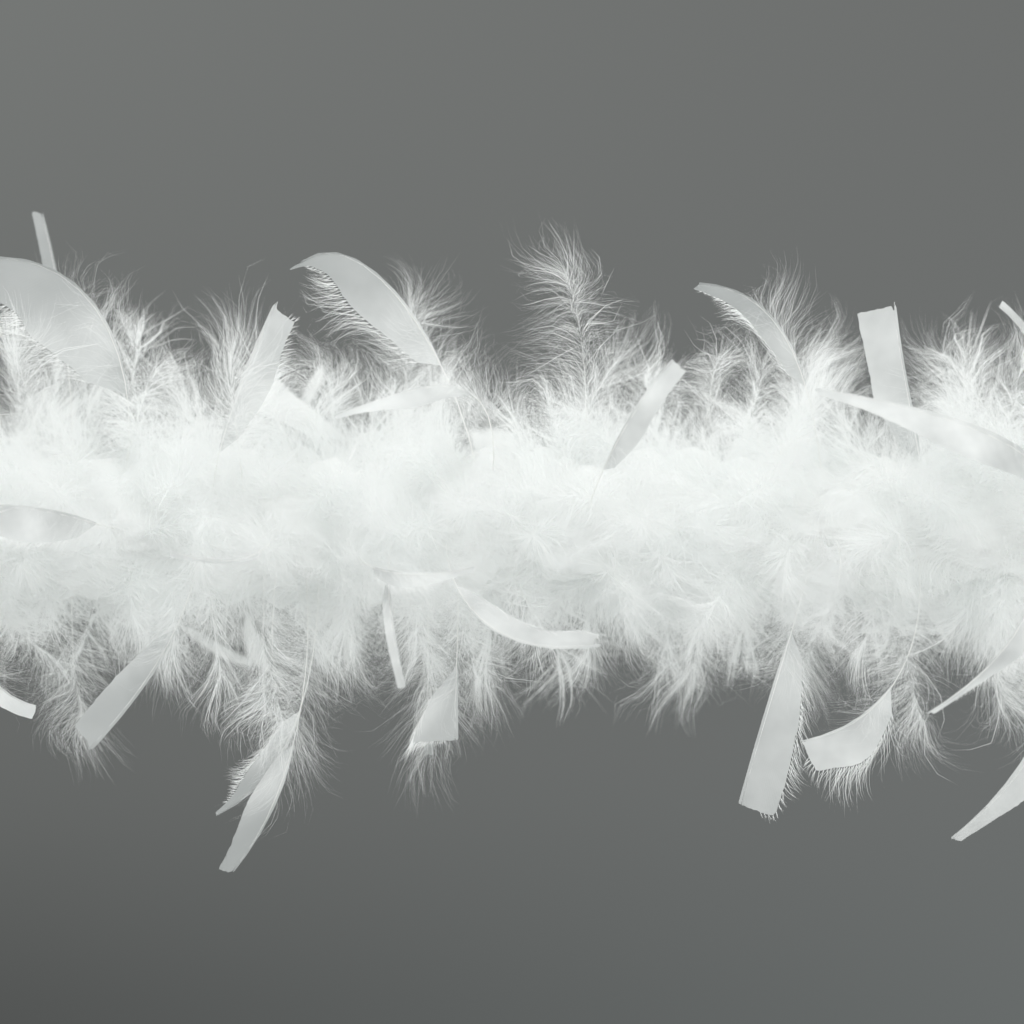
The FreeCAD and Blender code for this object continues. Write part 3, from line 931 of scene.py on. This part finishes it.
def add_fur(filling, roots, outward, style):
    """Barbs that stand out of the matted down, tilted and longer or shorter in patches."""
    rng, count = filling.rng, len(roots)
    tilt = 0.55 * LUMPS.at(roots) + 0.5 * random_units(rng, count)
    patchy = 0.92 + 0.3 * TUFTS.at(roots)[:, 2] + 0.3 * LUMPS.at(roots)[:, 1]
    reach = style["length"] * rng.uniform(0.5, 1.25, count) * patchy
    wander = random_units(rng, count)
    phase = rng.uniform(0, TAU, count)
    heading = unit(outward + tilt)
    reach = np.maximum(reach, FUR_LEAST)
    spines = walk_barbs(roots, heading, 0, reach, wander, phase, style)
    sheet = filling.open_down(count * FACES_PER_BARB)
    widths = barb_widths(style["width"], rng, count)
    add_ribbons(sheet, spines, widths, rng)


def fill_flats(filling):
    """Long feathers at random, away from the part of the boa whose flats are listed one by one."""
    rng = filling.rng
    x = scattered(filling.zone, FLAT_SPACING, rng)
    quills = grow_quills(rng, x, rng.uniform(0, TAU, len(x)), LONG_GROWTH)
    reach = np.linalg.norm(quills["points"][:, :, 1:], axis=-1).max(axis=1)
    tip = quills["points"][:, -1]
    by_hand = np.abs(tip[:, 0]) < FRONT_HALF_WIDTH
    hidden = (tip[:, 1] > HIDDEN_DEPTH) & (np.abs(tip[:, 2]) < HIDDEN_HEIGHT)
    kept = (reach < REACH_LIMIT) & (~by_hand | hidden)
    quills = only(quills, kept)
    add_quills(filling.quills, quills, LONG_SHAFT, rng)
    for number in range(len(quills["length"])):
        wide, narrow = rng.uniform(7, 14), rng.choice([0.8, 0.8, 4.0])
        shape = {
            **VANE,
            "widths": (wide, narrow) if rng.random() < 0.5 else (narrow, wide),
            "start": rng.uniform(0.5, 0.66),
            # Light painted shade, so these vanes look as white as the down.
            "shade": rng.uniform(1.2, 1.7),
            "tip": rng.choice(["square", "square", "frayed", "point"]),
            "camber": rng.uniform(-0.01, 0.03),
            "taper": rng.uniform(-0.1, 0.7),
        }
        add_vane(filling.vanes, filling.down[-1], quills, number, FAR_VANE_ROWS, rng, shape)
    filling.add_down(quills, {**FLUFF, "cover": (0.25, 0.66)})


def fill_by_hand(filling):
    """The feathers listed one by one."""
    rng = filling.rng
    for shape in rooted_in(filling.zone, FLATS):
        quill = bezier_quill(shape["run"], shape["facing"], shape["roll"])
        add_quills(filling.quills, quill, FRONT_SHAFT, rng)
        add_vane(filling.vanes, filling.open_down(FRINGE_FACES), quill, 0, VANE_ROWS, rng, shape)
        filling.add_down(quill, {**FLUFF, "cover": (0.22, shape["start"] + shape["buried"])})
    for tuft in rooted_in(filling.zone, PUFFS):
        quill = bezier_quill(tuft["run"], TOWARDS, (0, 0))
        add_quills(filling.quills, quill, SHORT_SHAFT, rng)
        for style, key, longer in ((PUFF, "barbs", 1), (HAIRS, "hairs", HAIR_REACH)):
            length = tuft["length"] * longer
            filling.add_down(quill, {**style, "length": length, "barbs": tuft[key]})


BED_RADIUS = 20.0
BED_LUMP = 2.5  # how far LUMPS moves the skin in and out
BED_TUFT = 0.8  # and TUFTS
BED_SIDES = 96
BED_STEP = 1.7
BED_END = 30.0  # the length over which it rounds off at the boa's ends
BED_SHADE = 0.8


def make_bed(zone):
    """The matted down close round the cord, as a lumpy skin."""
    start, end = zone["start"], zone["end"]
    x = np.linspace(start, end, round((end - start) / BED_STEP) + 1)
    angle = np.arange(BED_SIDES + 1) * TAU / BED_SIDES
    past = np.clip((np.abs(x) - SLEEVE_END + BED_END) / BED_END, 0, 1)
    taper = np.sqrt(np.clip(1 - past**2, 0.004, 1))
    ring = outward_at(angle)
    points = BED_RADIUS * taper[:, None, None] * ring
    points[:, :, 0] = x[:, None]
    lift = BED_LUMP * LUMPS.at(points)[:, :, :1] + BED_TUFT * TUFTS.at(points)[:, :, :1]
    points += ring * lift * taper[:, None, None]
    outside = grid(len(x), len(angle))[..., [0, 3, 2, 1]]
    sheet = Sheet()
    sheet.add(points, np.linspace(0, 1, len(x))[:, None], angle / TAU, BED_SHADE, outside)
    return sheet


def dress_zone(zone, number, looks):
    """All the pieces of one zone."""
    filling = Filling(zone, number)
    fill_fluff(filling)
    fill_fur(filling)
    fill_flats(filling)
    fill_by_hand(filling)
    name, (cord, thread) = zone["name"], make_cord(zone)
    downs = zip("abcdefgh", filling.down)
    pieces = [(f"down_{name}_{x}", sheet, "down", "down", "down_sleeve") for x, sheet in downs]
    pieces += [
        (f"down_bed_{name}", make_bed(zone), "down", "down", "down_sleeve"),
        (f"quills_{name}", filling.quills, "quill", "feather", "feathers"),
        (f"vanes_{name}", filling.vanes, "vane", "feather", "feathers"),
        (f"cord_{name}", cord, "cord", "cord", "cord"),
        (f"thread_{name}", thread, "thread", "thread", "binding_thread"),
    ]
    for piece, sheet, look, slot, kind in pieces:
        build_piece(piece, sheet, zone, looks[look], nodes_of(zone, kind))


# ---- cord and thread

PLY_RADIUS = CORD_RADIUS / 2
CORD_PITCH = 12.0
THREAD_RADIUS = 0.2
THREAD_PITCH = 8.0
THREAD_TURN = 1.0  # radians round the cord from where the plies start


def helix(start, end, radius, pitch, turn, steps_per_turn):
    """The middle line of a thread wound along the boa."""
    steps = max(8, int(abs(end - start) / pitch * steps_per_turn))
    x = np.linspace(start, end, steps)
    spine = radius * outward_at(x / pitch * TAU + turn)
    spine[:, 0] = x
    return spine[None]


def make_cord(zone):
    """The two twisted plies and the thread that binds the quills to them."""
    rng = np.random.default_rng(SEED)
    start, end = zone["start"], zone["end"]
    if zone["right"] is None:
        start, end = (-CORD_END, end) if start < 0 else (start, CORD_END)
    cord, thread = Sheet(), Sheet()
    for turn in (0, math.pi):
        spine = helix(start, end, PLY_RADIUS, CORD_PITCH, turn, 16)
        add_tubes(cord, spine, np.full(spine.shape[:2], PLY_RADIUS), 8, rng)
    spine = helix(start, end, CORD_RADIUS + THREAD_RADIUS, THREAD_PITCH, THREAD_TURN, 14)
    add_tubes(thread, spine, np.full(spine.shape[:2], THREAD_RADIUS), 5, rng)
    return cord, thread


# ---- stage, light and camera

FRAME_WIDTH = 327.7  # of the boa, seen across the picture
CAMERA_DISTANCE = 2000.0
CAMERA_HEIGHT = 4.2
SENSOR = 36.0
FOCUS_DEPTH = -26.0  # sharp where the front of the down is
APERTURE = 5.0


def make_camera():
    """A long lens that looks square at the middle of the boa."""
    camera = bpy.data.cameras.new("camera")
    camera.sensor_width = SENSOR
    camera.lens = SENSOR * CAMERA_DISTANCE / FRAME_WIDTH
    camera.clip_end = 100
    holder = add_object("camera", camera)
    holder.location = (0, -CAMERA_DISTANCE * MM, CAMERA_HEIGHT * MM)
    holder.rotation_euler = (math.pi / 2, 0, 0)
    bpy.context.scene.camera = holder
    focus = add_object("focus", None)
    focus.location = (0, FOCUS_DEPTH * MM, CAMERA_HEIGHT * MM)
    focus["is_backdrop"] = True
    camera.dof.use_dof = True
    camera.dof.focus_object = focus
    camera.dof.aperture_fstop = APERTURE


# Lamps by name: place and size in metres, and power. They aim at the middle of the boa.
LAMPS = {
    "key": ((-0.5, -1.6, 2.2), (2.4, 1.6), 36),
    "fill": ((1.2, -2.0, 0.4), (1.6, 1.6), 11),
    "back": ((0.3, 2.0, 1.6), (2.0, 1.2), 4),
    "bounce": ((0.2, -1.8, -0.8), (2.4, 1.0), 13),
}


def add_lamp(name, place, size, power):
    """A soft rectangular lamp, not seen itself."""
    lamp = bpy.data.lights.new(name, "AREA")
    lamp.shape = "RECTANGLE"
    lamp.size, lamp.size_y = size
    lamp.energy = power
    holder = add_object(name, lamp)
    holder.location = place
    holder.rotation_euler = (-Vector(place)).to_track_quat("-Z", "Y").to_euler()
    holder.visible_camera = False
    return holder


def keep_off_floor(lamp):
    """Let a lamp that stands close to the floor light only the boa."""
    boa = bpy.data.collections.new("boa")
    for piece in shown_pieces():
        boa.objects.link(piece)
    lamp.light_linking.receiver_collection = boa


HALF_VIEW = 0.082  # half the camera's angle of view, as a slope
# The grey behind the boa at the left and at the right: low down, a quarter of the way up, high up.
# Its darkening low down, most at the left, is painted shade.
BACKDROP = (
    ((0.083, 0.087, 0.085, 1), (0.135, 0.141, 0.137, 1), (0.178, 0.186, 0.180, 1)),
    ((0.135, 0.146, 0.144, 1), (0.152, 0.160, 0.157, 1), (0.155, 0.161, 0.157, 1)),
)


FILL_COLOUR = (0.965, 0.985, 0.965, 1)
FILL_STRENGTH = 0.83


def make_world():
    """A grey backdrop that only the camera sees, and a soft light from all round."""
    world = bpy.data.worlds.new("studio")
    bpy.context.scene.world = world
    world.use_nodes = True
    tree = world.node_tree
    tree.nodes.clear()
    view = node(tree, "SeparateXYZ", {0: node(tree, "TexCoord").outputs["Generated"]}).outputs
    edges = {"From Min": -HALF_VIEW, "From Max": HALF_VIEW}
    across, height = (node(tree, "MapRange", {"Value": view[axis], **edges}) for axis in "XZ")
    left, right = (
        ramp(tree, height.outputs[0], low, high, middle) for low, middle, high in BACKDROP
    )
    shares = {0: across.outputs[0], 6: left, 7: right}
    backdrop = node(tree, "Mix", shares, data_type="RGBA")
    seen = node(tree, "Background", {"Color": backdrop.outputs[2], "Strength": 1.0})
    fill = node(tree, "Background", {"Color": FILL_COLOUR, "Strength": FILL_STRENGTH})
    path = node(tree, "LightPath").outputs["Is Camera Ray"]
    node(tree, "OutputWorld", {"Surface": mix_shaders(tree, path, fill, seen).outputs[0]})


# The floor, in metres.
FLOOR_HEIGHT = -0.9
FLOOR_RADIUS = 6.0
FLOOR_FADE = 2.5  # where the floor starts to fade into the grey behind it
FLOOR_SIDES = 96


def floor_material():
    """Pale matt paper that fades out towards its rim."""
    material, tree = new_material("pale_paper")
    where = node(tree, "TexCoord").outputs["Object"]
    grain = node(tree, "TexNoise", {"Vector": where, "Scale": 40.0, "Detail": 4.0})
    colour = ramp(tree, grain.outputs["Fac"], (0.42, 0.43, 0.425, 1), (0.46, 0.47, 0.465, 1))
    surface = node(tree, "BsdfPrincipled", {"Base Color": colour, "Roughness": 0.9})
    away = node(tree, "VectorMath", {0: where}, operation="LENGTH").outputs["Value"]
    edges = {"Value": away, "From Min": FLOOR_FADE, "From Max": FLOOR_RADIUS * 0.97}
    fade = node(tree, "MapRange", edges, interpolation_type="SMOOTHSTEP")
    mix = mix_shaders(tree, fade.outputs[0], surface, node(tree, "BsdfTransparent"))
    node(tree, "OutputMaterial", {"Surface": mix.outputs[0]})
    return material


def make_floor():
    turn = np.arange(FLOOR_SIDES) * TAU / FLOOR_SIDES
    rim = [(FLOOR_RADIUS * math.cos(a), FLOOR_RADIUS * math.sin(a), 0) for a in turn]
    mesh = bpy.data.meshes.new("floor")
    mesh.from_pydata(rim, [], [tuple(range(FLOOR_SIDES))])
    mesh.materials.append(floor_material())
    floor = add_object("floor", mesh)
    floor.location.z = FLOOR_HEIGHT
    floor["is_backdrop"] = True


def make_stage():
    make_world()
    make_floor()
    make_camera()
    lamps = {name: add_lamp(name, *lamp) for name, lamp in LAMPS.items()}
    keep_off_floor(lamps["bounce"])
    scene = bpy.context.scene
    scene.view_settings.view_transform = "Standard"
    scene.cycles.max_bounces = 24
    scene.cycles.diffuse_bounces = 20
    scene.cycles.transmission_bounces = 20


# ---- the whole boa


def main():
    looks = {
        "down": feather_material("soft_down", DOWN_LOOK),
        "vane": feather_material("satin_vane", VANE_LOOK),
        "quill": feather_material("horny_quill", QUILL_LOOK),
        "cord": cord_material("cotton_cord", 9.0),
        "thread": cord_material("sewing_thread", 30.0),
    }
    for side in ("left", "right"):
        for kind in ("hang_loop", "whipping"):
            finish = frame["nodes"][f"{kind}_{side}"]
            finish.data.materials.clear()
            finish.data.materials.append(looks["cord" if kind == "hang_loop" else "thread"])
    for number, zone in enumerate(make_zones()):
        dress_zone(zone, number, looks)
    make_stage()


main()
